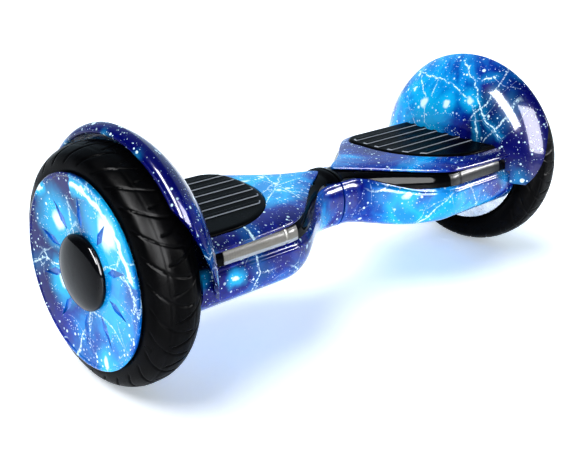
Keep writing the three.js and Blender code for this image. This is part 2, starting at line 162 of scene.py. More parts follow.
def face_outwards(obj):
    bm = bmesh.new()
    bm.from_mesh(obj.data)
    bmesh.ops.recalc_face_normals(bm, faces=bm.faces)
    bm.to_mesh(obj.data)
    bm.free()


def lathe(name, outline, turns=160):
    """A solid turned about the axle line from a closed outline of (s, radius) points."""
    rings = []
    for k in range(turns):
        a = 2 * math.pi * k / turns
        rings.append([(s, r * math.cos(a), AXLE_Z + r * math.sin(a)) for s, r in outline])
    return loft(name, rings, closed=True)


def block(name, low, high):
    (x0, y0, z0), (x1, y1, z1) = low, high
    corners = [(y0, z0), (y1, z0), (y1, z1), (y0, z1)]
    return loft(name, [[(x, y, z) for y, z in corners] for x in (x0, x1)])


def rod(name, axis, start, end, radius, centre):
    """A round bar along x, y or z."""
    sides = 48
    rings = []
    for at in (start, end):
        ring = []
        for k in range(sides):
            a = 2 * math.pi * k / sides
            u, v = centre[0] + radius * math.cos(a), centre[1] + radius * math.sin(a)
            ring.append({"x": (at, u, v), "y": (u, at, v), "z": (u, v, at)}[axis])
        rings.append(ring)
    return loft(name, rings)


def boolean(obj, other, operation):
    """Joins or cuts obj with another solid, which is used up."""
    modifier = obj.modifiers.new(operation, "BOOLEAN")
    modifier.object, modifier.operation, modifier.solver = other, operation, "EXACT"
    done = bpy.data.meshes.new_from_object(obj.evaluated_get(bpy.context.evaluated_depsgraph_get()))
    obj.modifiers.clear()
    obj.data = done
    bpy.data.objects.remove(other)
    return obj


def cut(obj, *others):
    for other in others:
        boolean(obj, other, "DIFFERENCE")
    return obj


def join(obj, *others):
    for other in others:
        boolean(obj, other, "UNION")
    return obj


def keep(obj, other):
    return boolean(obj, other, "INTERSECT")


def smooth(obj, angle=32):
    obj.data.shade_smooth()
    obj.data.set_sharp_from_angle(angle=math.radians(angle))
    return obj


def mirror_copy(obj, name):
    """The left half's piece, from the right half's."""
    mesh = obj.data.copy()
    mesh.transform(Matrix.Scale(-1, 4, Vector((1, 0, 0))))
    mesh.flip_normals()
    return in_scene(name, mesh)


# ---- Sections of the body ----
FINE = np.linspace(math.pi / 2, -math.pi / 2, 1600)


def flank(s, inset=0.0, top=deck_z):
    """The rear flank of a cross-section, from the top's middle round to the bottom's middle."""
    wide = half_width(s) - inset
    middle = middle_z(s)
    up = top(s) - inset - middle
    down = middle - bottom_z(s) - inset
    square = np.where(FINE > 0, mix(2.5, 6, ease(s, 10, 150)), mix(2.3, 2.6, ease(s, 10, 150)))
    y = wide * np.abs(np.cos(FINE)) ** (2 / square)
    rise = np.abs(np.sin(FINE)) ** (2 / square)
    return y, middle + np.where(FINE > 0, up, -down) * rise


def resample(y, z, count):
    """Evenly spaced points along a line."""
    along = np.concatenate([[0], np.cumsum(np.hypot(np.diff(y), np.diff(z)))])
    at = np.linspace(0, along[-1], count)
    return np.interp(at, along, y), np.interp(at, along, z)


def rounded_strip(outer, inner, bulge=5):
    """A closed ring round a curved strip: its outer line and its inner line, joined by round edges."""
    outer, inner = np.asarray(outer), np.asarray(inner)

    def edge(a, b, away):
        middle, radius = (a + b) / 2, np.linalg.norm(a - b) / 2
        across = (a - middle) / radius
        along = away - away.dot(across) * across
        along /= np.linalg.norm(along)
        turns = np.linspace(0, math.pi, bulge + 2)[1:-1]
        return [middle + radius * (math.cos(t) * across + 0.8 * math.sin(t) * along) for t in turns]

    end = edge(outer[-1], inner[-1], outer[-1] - outer[-2])
    start = edge(inner[0], outer[0], outer[0] - outer[1])
    return np.vstack([outer, end, inner[::-1], start])


def both_sides(y, z):
    """A whole line from its rear half, which begins at the middle."""
    return np.stack([np.concatenate([-y[:0:-1], y]), np.concatenate([z[:0:-1], z])], 1)


def stations(start, end, step=4.0):
    return np.linspace(start, end, max(2, int(round((end - start) / step)) + 1))


def covering(s, inset, until, count):
    """The line over the top of the body, down to where until says, on both sides."""
    y, z = flank(s, inset)
    stop = max(3, int(np.argmax(until(s, y, z))))
    return both_sides(*resample(y[:stop], z[:stop], count))


def solid_body(name, start, end, inset, top=deck_z, step=4.0):
    """The filled body, moved in by inset."""
    rings = []
    for s in stations(start, end, step):
        amount = inset(s) if callable(inset) else inset
        y, z = resample(*flank(s, amount, top), 70)
        rear = [(s, a, b) for a, b in zip(y, z)]
        front = [(s, -a, b) for _, a, b in rear[-2:0:-1]]
        rings.append(rear + front)
    return loft(name, rings)


def box_ring(s, half, low, high):
    return [(s, -half, low), (s, half, low), (s, half, high), (s, -half, high)]


def slice_block(name, start, end, half, low, high):
    """The space between two heights, as wide as half says, along the body."""
    return loft(name, [box_ring(s, half(s), low, high) for s in stations(start, end)])


# ---- Fender ----
def dome_depth(r):
    return DOME_DEPTH * np.sqrt(np.maximum(0, 1 - (r / DOME_RADIUS) ** 3))


def dome_slope(r):
    """How fast the depth falls with the radius."""
    return 1.5 * DOME_DEPTH**2 * r * r / DOME_RADIUS**3 / np.maximum(1, dome_depth(r))


def dome_line(inset):
    """The fender's outline from the axle line to its edge, as (s, radius), moved in by inset."""
    reach = (WHEEL_S - FENDER_EDGE_S) / DOME_DEPTH
    edge_r = DOME_RADIUS * (1 - reach**2) ** (1 / 3)
    r = edge_r * np.sin(np.linspace(0, math.pi / 2, 60))
    slope = dome_slope(r)
    length = np.hypot(1, slope)
    s = WHEEL_S - dome_depth(r) + inset / length
    return np.stack([s, np.maximum(0, r - inset * slope / length)], 1)


def dome_solid(name, inset, end_s):
    """The space inside the fender, moved in by inset."""
    line = dome_line(inset)
    line = line[line[:, 0] < end_s - 1]
    back = [(end_s, line[-1][1]), (end_s, 1.0), (line[0][0], 1.0)]
    return lathe(name, [tuple(p) for p in line[1:]] + back)


def fender_arch():
    """The fender's upper half, with its lip rolled out over the tyre and cut back at both ends."""
    outer, inner = dome_line(0.0), dome_line(WALL)
    inner[:, 1] = np.minimum(inner[:, 1], FENDER_HOLLOW_R)
    a = np.linspace(0.08, 1.25, 12)
    turn = np.stack([np.sin(a) * LIP_REACH, np.cos(a) * LIP_DROP], 1)
    roll = [FENDER_EDGE_S, outer[-1][1] - LIP_DROP] + turn
    under = [(s, FENDER_HOLLOW_R) for s in np.linspace(inner[-1][0] + 1, roll[-1][0] - 1, 6)]
    ring = rounded_strip(np.vstack([outer[2:], roll]), np.vstack([inner[2:], under]))
    arch = lathe("arch", [tuple(p) for p in ring], turns=220)
    keep(arch, block("above", (200, -200, FENDER_END_Z), (330, 200, 320)))
    body_s = stations(200, 300, 10)
    room = [box_ring(s, half_width(s) + 1, 60, ROOM_TOP_Z) for s in body_s]
    past_lip = [box_ring(s, 160, 60, z) for s, z in LIP_TAPER]
    return cut(arch, loft("room", room), loft("past_lip", past_lip))


# ---- Foot pad outline ----
PAD_LOW, PAD_HIGH = cad("foot_pad_right")
PAD_HALF = PAD_HIGH.y
PAD_FRONT_CORNER, PAD_REAR_CORNER = 104.0, 30.0
PAD_GAP = 0.8
PAD_EDGE_Z, PAD_TOP_Z = 163.4, 166.0
PAD_BEVEL = 6.0


def pad_corner(y):
    """The corner's radius on y's side of the pad, and how far y is past the start of its arc."""
    at_rear = np.asarray(y) > (PAD_FRONT_CORNER - PAD_REAR_CORNER) / 2
    radius = np.where(at_rear, PAD_REAR_CORNER, PAD_FRONT_CORNER)
    return radius, np.maximum(0, np.where(at_rear, y, -y) - (PAD_HALF - radius))


def pad_inner_s(y, grow=0.0):
    """The pad's inboard edge at each y."""
    radius, past = pad_corner(y)
    return PAD_LOW.x + radius - np.sqrt(np.maximum(0, (radius + grow) ** 2 - past**2))


def pad_outer_s(y, z, clearance):
    """The pad's outboard edge at each y, where it meets the fender."""
    r = np.hypot(y, z - AXLE_Z)
    return WHEEL_S - dome_depth(r) - clearance * np.hypot(1, dome_slope(r))


def pad_pocket():
    reach = PAD_HALF + PAD_GAP
    y = reach * np.sin(np.linspace(-math.pi / 2, math.pi / 2, 81))
    inner = [(pad_inner_s(v, PAD_GAP), v) for v in y]
    outline = inner + [(290, reach), (290, -reach)]
    rings = [[(s, v, z) for s, v in outline] for z in (160.6, 175)]
    return loft("pocket", rings)


# ---- Shells ----
SHELL_END_S = 262.0
AXLE_HOLE_R, BOSS_HOLE_R = 12.0, 21.0
SEAT_Z, SEAT_TOP_Z = 157.6, 163.5


def axle_hole():
    return rod("axle_hole", "x", 200, 290, AXLE_HOLE_R, (0, AXLE_Z))


def boss_hole():
    return rod("boss_hole", "x", -5, 30, BOSS_HOLE_R, (0, AXLE_Z))


def curved_sheet(name, start, end, line):
    """A sheet between the lines that line(s, depth) gives at its outside and WALL deep."""
    rings = []
    for s in stations(start, end, 3.0):
        strip = rounded_strip(line(s, 0), line(s, WALL))
        rings.append([(s, y, z) for y, z in strip])
    return loft(name, rings)


def past_deck_lip(s, y, z):
    return (y > lip_half_width(s)) | (z < DECK_LIP_LOW_Z)


def deck_line(s, depth):
    return covering(s, depth, past_deck_lip, 46)


def upper_shell():
    skin = curved_sheet("upper_shell_skin", TIP_S, SHELL_END_S, deck_line)
    seat_half = PAD_HALF + 4
    seat = block("seat", (PAD_LOW.x - 4, -seat_half, SEAT_Z), (SHELL_END_S, seat_half, SEAT_TOP_Z))
    keep(seat, solid_body("inside", 60, SHELL_END_S, 1.0, step=8))
    join(skin, seat)
    cut(skin, dome_solid("wheel_room", WALL - 0.5, WHEEL_S + 10), pad_pocket())
    join(skin, fender_arch())
    return smooth(cut(skin, axle_hole(), *plunger_holes()))


def plunger_holes():
    holes = []
    for end in ("front", "rear"):
        low, high = cad(f"pad_plunger_right_{end}")
        centre = ((low.x + high.x) / 2, (low.y + high.y) / 2)
        holes.append(rod(f"{end}_hole", "z", 150, 170, 4.6, centre))
    return holes


def below_seam(s, inset):
    """The line under the body, up to the seam on both sides."""
    y, z = flank(s, inset, shoulder_z)
    y, z = y[::-1], z[::-1]
    stop = int(np.argmax(z > seam_z(s) - EDGE_ROUND))
    return both_sides(*resample(y[:stop], z[:stop], 90))


def lower_shell():
    shell = curved_sheet("lower_shell", SEAM_S, BODY_END_S, below_seam)
    wall = solid_body("end_wall", BODY_END_S - WALL, BODY_END_S - 0.02, 1.5, shoulder_z)
    waist = solid_body("waist_wall", SEAM_S + 0.02, SEAM_S + WALL, 1.5, shoulder_z)
    for part, top in ((wall, 134), (waist, 153.5)):
        keep(part, block("under", (0, -120, 50), (280, 120, top)))
    shelf = block("shelf", (238, -80, 131), (BODY_END_S - 1, 80, 134))
    join(shell, wall, waist, shelf)
    return smooth(cut(shell, boss_hole(), axle_hole()))


LENS_LOW, LENS_HIGH = cad("light_lens_right")
BUTTON_HOLE_R, SOCKET_HOLE_R = 6.4, 7.9


def down_to_seam(s, _, z):
    return z < seam_z(s) + SEAM_GAP + EDGE_ROUND


def trim_line(s, depth):
    return covering(s, trim_inset(s) + depth, down_to_seam, 60)


def lens_gap():
    low = (LENS_LOW.x - SEAM_GAP, -110, LENS_LOW.z - SEAM_GAP)
    return block("lens_gap", low, (LENS_HIGH.x + SEAM_GAP, 0, LENS_HIGH.z + SEAM_GAP))


def port_hole(is_right):
    """The hole in the rear for the power button, or for the charge socket."""
    low, high = cad("power_button" if is_right else "charge_socket")
    centre = (abs(low.x + high.x) / 2, (low.z + high.z) / 2)
    return rod("port", "y", 60, 110, BUTTON_HOLE_R if is_right else SOCKET_HOLE_R, centre)


def side_trim(is_right):
    trim = curved_sheet("side_trim", SEAM_S, SHELL_END_S, trim_line)
    window = slice_block("window", 34, 270, lambda s: half_width(s) - 20, 120, 200)
    wall = solid_body("waist_wall", SEAM_S + 0.02, SEAM_S + WALL, lambda s: trim_inset(s) + 1.5, step=1)
    keep(wall, block("over", (-5, -60, 155.6), (20, 60, 200)))
    join(trim, wall)
    dome_room = dome_solid("dome_room", -0.5, WHEEL_S + 10)
    return smooth(cut(trim, window, dome_room, boss_hole(), lens_gap(), port_hole(is_right)))


def light_lens():
    """The lens strip, with a step down to a small end piece at its inboard end."""
    low, high, thick = LENS_LOW.z, LENS_HIGH.z, 3.0
    divide = LENS_LOW.x + 18
    rings = []
    for s in stations(LENS_LOW.x, LENS_HIGH.x, 1.5):
        sunk = 0.9 * math.exp(-(((s - divide) / 1.2) ** 2))
        y, z = flank(s, trim_inset(s) - 0.6 + sunk)
        inside = (z > low) & (z < high)
        outer = np.stack(resample(y[inside], z[inside], 12), 1)
        inner = outer - np.array([thick, 0])
        rings.append([(s, -a, b) for a, b in rounded_strip(outer, inner, bulge=3)])
    return smooth(loft("light_lens", rings), 50)


# ---- Foot pad ----
RIB_PITCH, RIB_FIRST, RIB_COUNT = 19.4, -40.0, 6
RIB_WIDTH, RIB_RISE, RIB_MARGIN = 7.0, 1.9, 8.0


def rib_height(y, from_edge):
    """The rise of the ribs that cross the pad, which run out near its edge."""
    k = np.clip(np.round((y - RIB_FIRST) / RIB_PITCH), 0, RIB_COUNT - 1)
    away = abs(y - RIB_FIRST - k * RIB_PITCH)
    return RIB_RISE * (1 - ease(away, RIB_WIDTH / 2 - 1.4, RIB_WIDTH / 2 + 1.0)) * ease(
        from_edge, RIB_MARGIN - 3, RIB_MARGIN
    )


def pad_edge_distance(s, v, start):
    """How far the points of one row are from the pad's inboard, front and rear edges."""
    radius, past = pad_corner(v)
    corner = np.hypot(s - PAD_LOW.x - radius, past)
    inside_corner = s < PAD_LOW.x + radius
    edge = np.where(inside_corner, np.minimum(radius - corner, s - start), PAD_HALF - abs(v))
    return np.maximum(0, np.minimum(edge, PAD_HALF - abs(v)))


def pad_faces(rows, columns):
    """The faces of two grids, one above the other, and of the wall round them."""
    count = rows * columns
    faces = []
    for r in range(rows - 1):
        for c in range(columns - 1):
            a = r * columns + c
            faces.append((a, a + 1, a + columns + 1, a + columns))
            faces.append((count + a, count + a + columns, count + a + columns + 1, count + a + 1))
    rim = [r * columns for r in range(rows)]
    rim += [(rows - 1) * columns + c for c in range(1, columns)]
    rim += [r * columns + columns - 1 for r in range(rows - 2, -1, -1)]
    rim += [c for c in range(columns - 2, 0, -1)]
    for a, b in zip(rim, rim[1:] + rim[:1]):
        faces.append((a, b, count + b, count + a))
    return faces


def foot_pad():
    """A moulded rubber pad on a fine grid, from its inboard edge to the fender."""
    rows, columns = 313, 64
    t = np.sin(np.linspace(0, math.pi / 2, columns)) ** 1.4
    upper, lower = [], []
    for v in np.linspace(-PAD_HALF, PAD_HALF, rows):
        start = pad_inner_s(v)
        end = float(pad_outer_s(v, PAD_TOP_Z, 0.9))
        s = start + (end - start) * t
        edge = pad_edge_distance(s, v, start)
        fall = 1 - np.sqrt(np.clip(1 - (1 - np.clip(edge / PAD_BEVEL, 0, 1)) ** 2.2, 0, 1))
        z = PAD_TOP_Z - (PAD_TOP_Z - PAD_EDGE_Z + 0.3) * fall + rib_height(v, edge)
        upper.append(np.stack([s, np.full_like(s, v), z], 1))
        lower.append(np.stack([s, np.full_like(s, v), np.full_like(s, PAD_LOW.z)], 1))
    pad = make_object("foot_pad", np.concatenate(upper + lower), pad_faces(rows, columns))
    face_outwards(pad)
    return smooth(pad, 60)


# ---- Wheel ----
def catmull(points, samples):
    """A smooth line through control points."""
    p = np.asarray(points, float)
    p = np.vstack([2 * p[0] - p[1], p, 2 * p[-1] - p[-2]])
    line = []
    for i in range(1, len(p) - 2):
        t = np.linspace(0, 1, 24, endpoint=False)[:, None]
        a, b, c, d = p[i - 1], p[i], p[i + 1], p[i + 2]
        bend, twist = 2 * a - 5 * b + 4 * c - d, 3 * b - a - 3 * c + d
        line.append(0.5 * (2 * b + (c - a) * t + bend * t**2 + twist * t**3))
    line = np.vstack(line + [p[-2:-1]])
    return np.stack(resample(line[:, 0], line[:, 1], samples), 1)


TYRE_SECTION = [(21.5, 92), (26.5, 95.5), (29.2, 103), (28.2, 111)]
TYRE_SECTION += [(24.5, 118.5), (16.5, 124), (8, 126.6), (0, 127)]
TYRE_MIDDLE_R = 105.0
BEAD_U, BEAD_R = (15.0, -15.0), 84.0
TREAD_EDGE_R = 109.0
GROOVE_DEPTH = 1.3
TREAD_REPEATS = 28


def groove(distance, width):
    """1 in the middle of a groove, 0 outside it, for a distance from its centre line."""
    return 1 / (1 + np.exp((np.abs(distance) - width / 2) * 5.0))


def tread(angle, across):
    """How deep the tread is cut, from 0 to 1. across runs from -1 to 1 between the shoulders."""
    pitch = 2 * math.pi / TREAD_REPEATS
    deep = np.zeros_like(angle)
    for side, shift in ((1, 0.0), (-1, 0.5)):
        a = across * side
        bend = 1.15 * ((a + 0.25) / 1.25) ** 2 * np.sign(a + 0.25)
        offset = (angle / pitch + shift + bend) % 1.0
        distance = np.minimum(offset, 1 - offset) * pitch * TREAD_R * 0.62
        reach = ease(a, -0.32, -0.24) * (1 - ease(a, 0.9, 1.0))
        deep = np.maximum(deep, groove(distance, 1.1) * reach)
    for line in (-0.36, 0.36):
        deep = np.maximum(deep, groove((across - line) * 34, 1.0) * 0.6)
    return deep


def outward_normals(line):
    """The direction out of the rubber at each point of the tyre's section."""
    normal = np.stack([np.gradient(line[:, 1]), -np.gradient(line[:, 0])], 1)
    normal /= np.linalg.norm(normal, axis=1)[:, None]
    outwards = normal[:, 1] * (line[:, 1] - TYRE_MIDDLE_R) + normal[:, 0] * line[:, 0] > 0
    return np.where(outwards[:, None], normal, -normal)


def tyre():
    """A pneumatic tyre with its tread cut into the mesh."""
    side = catmull(TYRE_SECTION, 46)
    line = np.vstack([side * [-1, 1], side[-2::-1]])
    turns, half = 840, len(line) // 2
    angle = 2 * math.pi * np.arange(turns) / turns
    along = np.concatenate([[0], np.cumsum(np.hypot(*np.diff(line, axis=0).T))])
    middle = along[-1] / 2
    edge = middle - np.interp(TREAD_EDGE_R, line[:half, 1], along[:half])
    grid_angle, across = np.meshgrid(angle, (along - middle) / edge, indexing="ij")
    deep = tread(grid_angle, np.clip(across, -1.5, 1.5)) * (np.abs(across) < 1.05)
    normal = outward_normals(line)
    u = line[None, :, 0] - GROOVE_DEPTH * deep * normal[None, :, 0]
    r = line[None, :, 1] - GROOVE_DEPTH * deep * normal[None, :, 1]
    u = np.concatenate([u, np.tile(BEAD_U, (turns, 1))], 1) + WHEEL_S
    r = np.concatenate([r, np.full((turns, 2), BEAD_R)], 1)
    y, z = r * np.cos(angle)[:, None], AXLE_Z + r * np.sin(angle)[:, None]
    return smooth(loft("tyre", np.stack([u, y, z], 2), closed=True), 50)


COVER_LOW, COVER_HIGH = cad("wheel_cover_right")
COVER_EDGE_U, COVER_EDGE_R = COVER_HIGH.x - WHEEL_S, (COVER_HIGH.z - COVER_LOW.z) / 2
HUB_U, HUB_R = 29.0, 42.0
KITES = 10
KITE_START_R, KITE_WIDE_R, KITE_END_R = 46.0, 58.0, 80.0
KITE_MIDDLE_R, KITE_HALF_WIDTH = 62.0, 4.2
KITE_DEPTH, KITE_LEAN = 1.5, 1.2


def cover_u(r):
    """How far the cover's face stands out at a radius: flat at the hub, then gently dished."""
    return HUB_U + (COVER_EDGE_U - HUB_U) * ease(r, HUB_R - 14, COVER_EDGE_R + 26) * 1.35


def add_slots(obj):
    """The material slots of the printed face and of the floors of its recesses."""
    for name in ("face", "floor"):
        obj.data.materials.append(bpy.data.materials.get(name) or bpy.data.materials.new(name))


def kite_prism(k):
    """A lozenge recess whose walls lean outwards."""
    angle = 2 * math.pi * (k + 0.5) / KITES
    cosine, sine = math.cos(angle), math.sin(angle)
    face_u = cover_u(KITE_MIDDLE_R)
    rings = []
    for u, grow in ((face_u - KITE_DEPTH, 0.0), (face_u + 3, KITE_LEAN)):
        wide = KITE_HALF_WIDTH + grow
        ends = (KITE_START_R - grow, 0), (KITE_END_R + grow, 0)
        outline = [ends[0], (KITE_WIDE_R, wide), ends[1], (KITE_WIDE_R, -wide)]
        turned = [(r * cosine - v * sine, r * sine + v * cosine) for r, v in outline]
        rings.append([(WHEEL_S + u, y, AXLE_Z + z) for y, z in turned])
    kite = loft("kite", rings)
    add_slots(kite)
    kite.data.polygons.foreach_set("material_index", [1] * len(kite.data.polygons))
    return kite


def wheel_cover():
    """The printed disc, with a rounded bead at its edge and a collar behind its hub."""
    face_r = COVER_EDGE_R - 4.5
    radii = np.concatenate([np.linspace(1, HUB_R - 4, 6), np.linspace(HUB_R, face_r, 26)])
    face = [(cover_u(r), r) for r in radii]
    edge_u = cover_u(face_r)
    bead = []
    for a in np.linspace(0.3, math.pi - 0.2, 9):
        bead.append((edge_u + 0.9 * math.sin(a), COVER_EDGE_R - 2.2 - 2.2 * math.cos(a)))
    back_u, collar_u = HUB_U - 2.8, 20.4
    back = [(edge_u - 2.6, COVER_EDGE_R - 0.6), (back_u, HUB_R), (collar_u, HUB_R)]
    back += [(collar_u, HUB_R - 4), (back_u, HUB_R - 4), (back_u, 1)]
    cover = lathe("wheel_cover", [(WHEEL_S + u, r) for u, r in face + bead + back], turns=240)
    add_slots(cover)
    cut(cover, *[kite_prism(k) for k in range(KITES)])
    return smooth(cover)


def hub_cap():
    """A domed cap on a short straight side."""
    low, high = cad("hub_cap_right")
    radius, start, tip = (high.z - low.z) / 2, low.x, high.x
    side = 2.0
    dome = []
    for a in np.linspace(0, math.pi / 2, 28):
        u = start + side + (tip - start - side) * math.cos(a) ** 0.9
        dome.append((u, max(0.3, radius * math.sin(a))))
    return smooth(lathe("hub_cap", dome + [(start, radius - 0.6), (start, 0.3)], turns=128))


def motor_rim():
    outline = [
        (10, 17.6), (20, 17.6), (20, 66), (22, 71), (26.2, 78), (27, 80), (27, 90.2), (26.2, 91),
        (24.8, 91), (24, 90.2), (22.6, 83.4), (21, 82),
        (-21, 82), (-22.6, 83.4), (-24, 90.2), (-24.8, 91), (-26.2, 91), (-27, 90.2),
        (-27, 77), (-26, 75.4), (-24, 73.4), (14, 72.5), (14, 23), (10, 23),
    ]
    return smooth(lathe("motor_rim", [(WHEEL_S + u, r) for u, r in outline], turns=160))


def motor_cover():
    outline = [
        (-27, 17.6), (-27, 24), (-25.8, 26), (-25.8, 40), (-27, 42), (-27, 62), (-26.4, 66),
        (-24.6, 71.4), (-20.6, 71.4), (-22, 62), (-22, 23), (-17, 23), (-17, 17.6),
    ]
    return smooth(lathe("motor_cover", [(WHEEL_S + u, r) for u, r in outline], turns=120))


# ---- Materials ----
SCALAR_OPERATIONS = ("DISTANCE", "LENGTH", "DOT_PRODUCT")


class Nodes:
    """Short names for the nodes of one material."""

    def __init__(self, name):
        self.material = bpy.data.materials.new(name)
        self.material.use_nodes = True
        self.tree = self.material.node_tree
        self.shader = self.tree.nodes["Principled BSDF"]
        self.place = self.add("ShaderNodeTexCoord").outputs["Object"]

    def add(self, kind, **values):
        node = self.tree.nodes.new(kind)
        for key, value in values.items():
            setattr(node, key, value)
        return node

    def feed(self, socket, value):
        if isinstance(value, bpy.types.NodeSocket):
            self.tree.links.new(value, socket)
        elif isinstance(value, tuple) and len(value) == 3 and socket.type == "RGBA":
            socket.default_value = (*value, 1)
        else:
            socket.default_value = value

    def set(self, **values):
        for key, value in values.items():
            self.feed(self.shader.inputs[key.replace("_", " ")], value)

    def math(self, operation, *values, clamp=False):
        node = self.add("ShaderNodeMath", operation=operation, use_clamp=clamp)
        for i, value in enumerate(values):
            self.feed(node.inputs[i], value)
        return node.outputs[0]

    def times(self, a, b):
        return self.math("MULTIPLY", a, b)

    def most(self, a, b):
        return self.math("MAXIMUM", a, b)

    def vector(self, operation, a, b=None, scale=None):
        node = self.add("ShaderNodeVectorMath", operation=operation)
        for key, value in ((0, a), (1, b), ("Scale", scale)):
            if value is not None:
                self.feed(node.inputs[key], value)
        return node.outputs["Value" if operation in SCALAR_OPERATIONS else "Vector"]

    def coordinate(self, axis):
        node = self.add("ShaderNodeSeparateXYZ")
        self.feed(node.inputs[0], self.place)
        return node.outputs[axis]

    def shaken(self, scale, amount):
        """The place, moved about a little by noise."""
        shift = self.vector("SUBTRACT", self.noise(scale, 3.0, color=True), (0.5, 0.5, 0.5))
        return self.vector("ADD", self.place, self.vector("SCALE", shift, scale=amount))

    def noise(self, scale, detail=3.0, roughness=0.5, distortion=0.0, place=None, color=False):
        node = self.add("ShaderNodeTexNoise")
        self.feed(node.inputs["Vector"], place or self.place)
        keys = ("Scale", "Detail", "Roughness", "Distortion")
        for key, value in zip(keys, (scale, detail, roughness, distortion)):
            node.inputs[key].default_value = value
        return node.outputs["Color" if color else "Fac"]

    def voronoi(self, scale, feature="F1", place=None, randomness=1.0):
        node = self.add("ShaderNodeTexVoronoi", feature=feature)
        self.feed(node.inputs["Vector"], place or self.place)
        node.inputs["Scale"].default_value = scale
        node.inputs["Randomness"].default_value = randomness
        return node

    def ranged(self, value, low, high, to_low=0.0, to_high=1.0):
        node = self.add("ShaderNodeMapRange", interpolation_type="SMOOTHSTEP")
        for socket, v in zip(node.inputs, (value, low, high, to_low, to_high)):
            self.feed(socket, v)
        return node.outputs[0]

    def mixed(self, factor, a, b):
        node = self.add("ShaderNodeMix", data_type="RGBA")
        for key, value in (("Factor", factor), (6, a), (7, b)):
            self.feed(node.inputs[key], value)
        return node.outputs[2]

    def ramp(self, value, stops):
        node = self.add("ShaderNodeValToRGB")
        ramp = node.color_ramp
        while len(ramp.elements) < len(stops):
            ramp.elements.new(0.5)
        for element, (at, color) in zip(ramp.elements, stops):
            element.position, element.color = at, (*color, 1)
        self.feed(node.inputs[0], value)
        return node.outputs[0]

    def bump(self, height, strength, distance):
        node = self.add("ShaderNodeBump")
        node.inputs["Strength"].default_value = strength
        node.inputs["Distance"].default_value = distance
        self.feed(node.inputs["Height"], height)
        self.set(Normal=node.outputs[0])


PRINT_STOPS = [
    (0.24, (0.0003, 0.0018, 0.105)),
    (0.42, (0.0004, 0.0060, 0.200)),
    (0.52, (0.001, 0.035, 0.31)),
    (0.61, (0.001, 0.110, 0.44)),
    (0.70, (0.002, 0.24, 0.64)),
    (0.80, (0.004, 0.40, 0.80)),
    (0.95, (0.006, 0.24, 0.64)),
]
VEIN_COLOR = (0.72, 0.95, 1.0)
HALO_COLOR = (0.006, 0.44, 0.80)


def cell_chances(n, cells):
    """Two random numbers for each cell."""
    split = n.add("ShaderNodeSeparateColor")
    n.feed(split.inputs[0], cells.outputs["Color"])
    return split.outputs[0], split.outputs[1]


def print_line(n, place, start, end):
    """The distance from the straight line between two points."""
    along = Vector(end) - Vector(start)
    reach = n.vector("SUBTRACT", place, start)
    share = n.vector("DOT_PRODUCT", reach, tuple(along / along.length_squared))
    share = n.math("MULTIPLY", share, 1.0, clamp=True)
    return n.vector("DISTANCE", reach, n.vector("SCALE", tuple(along), scale=share))


def drawn_veins(n, lines, line, glow):
    """Adds veins through given points, and their glow, to the others."""
    shaken = n.shaken(70.0, 0.010)
    for plane, points in lines:
        flat = n.vector("MULTIPLY", shaken, plane)
        for start, end in zip(points, points[1:]):
            away = print_line(n, flat, start, end)
            line = n.most(line, n.ranged(away, 0.0004, 0.0014, 1.0, 0.0))
            glow = n.most(glow, n.ranged(away, 0.0, 0.010, 0.40, 0.0))
    return line, glow


def print_veins(n, lines):
    """Branching lines of light: cell edges of bent space, broken up by noise, and their glow."""
    bend = n.vector("SCALE", n.noise(9.0, 2.0, 0.5, color=True), scale=0.08)
    bent = n.vector("ADD", n.place, bend)
    wide = n.voronoi(6.5, "DISTANCE_TO_EDGE", bent).outputs["Distance"]
    twigs = n.voronoi(21.0, "DISTANCE_TO_EDGE", bent).outputs["Distance"]
    alive = n.ranged(n.noise(8.0, 2.0, 0.5), 0.42, 0.52)
    near = n.ranged(wide, 0.02, 0.14, 1.0, 0.0)
    beads = n.ranged(n.noise(420.0, 1.0), 0.40, 0.60, 0.10, 1.0)
    line = n.times(n.ranged(wide, 0.002, 0.010, 0.9, 0.0), alive)
    twig = n.ranged(twigs, 0.003, 0.016, 0.7, 0.0)
    twig = n.times(twig, n.times(near, alive))
    glow = n.times(n.times(near, near), n.times(alive, 0.14))
    line, glow = drawn_veins(n, lines, line, glow)
    return n.times(n.most(line, twig), beads), glow


# Each size of star: how dense its cells are, the share without a star, its size, its least light.
STAR_SIZES = [(430.0, 0.50, 0.70, 0.30), (210.0, 0.64, 1.1, 0.5), (85.0, 0.78, 1.4, 0.9)]


def print_stars(n, total):
    """A few sizes of star, each where a cell's random number is high."""
    for scale, share, size, least in STAR_SIZES:
        cells = n.voronoi(scale)
        chance, light = cell_chances(n, cells)
        reach = n.times(n.math("SUBTRACT", chance, share), size)
        star = n.math("SUBTRACT", reach, cells.outputs["Distance"])
        star = n.math("MULTIPLY", star, 12.0, clamp=True)
        star = n.times(star, n.ranged(light, 0.0, 1.0, least, 1.0))
        total = n.most(total, star)
    return total


def print_spots(n):
    """Glowing spots: their cores and their halos."""
    shaken = n.vector("SCALE", n.noise(34.0, 3.0, color=True), scale=0.026)
    cells = n.voronoi(12.0, place=n.vector("ADD", n.place, shaken))
    chance, light = cell_chances(n, cells)
    lit = n.ranged(chance, 0.52, 0.54)
    reach = n.ranged(light, 0.0, 1.0, 0.05, 0.11)
    away = cells.outputs["Distance"]
    core = n.times(n.ranged(n.math("DIVIDE", away, reach), 0.6, 1.3, 1.0, 0.0), lit)
    halo = n.times(n.ranged(away, 0.06, 0.40, 0.85, 0.0), lit)
    return core, halo


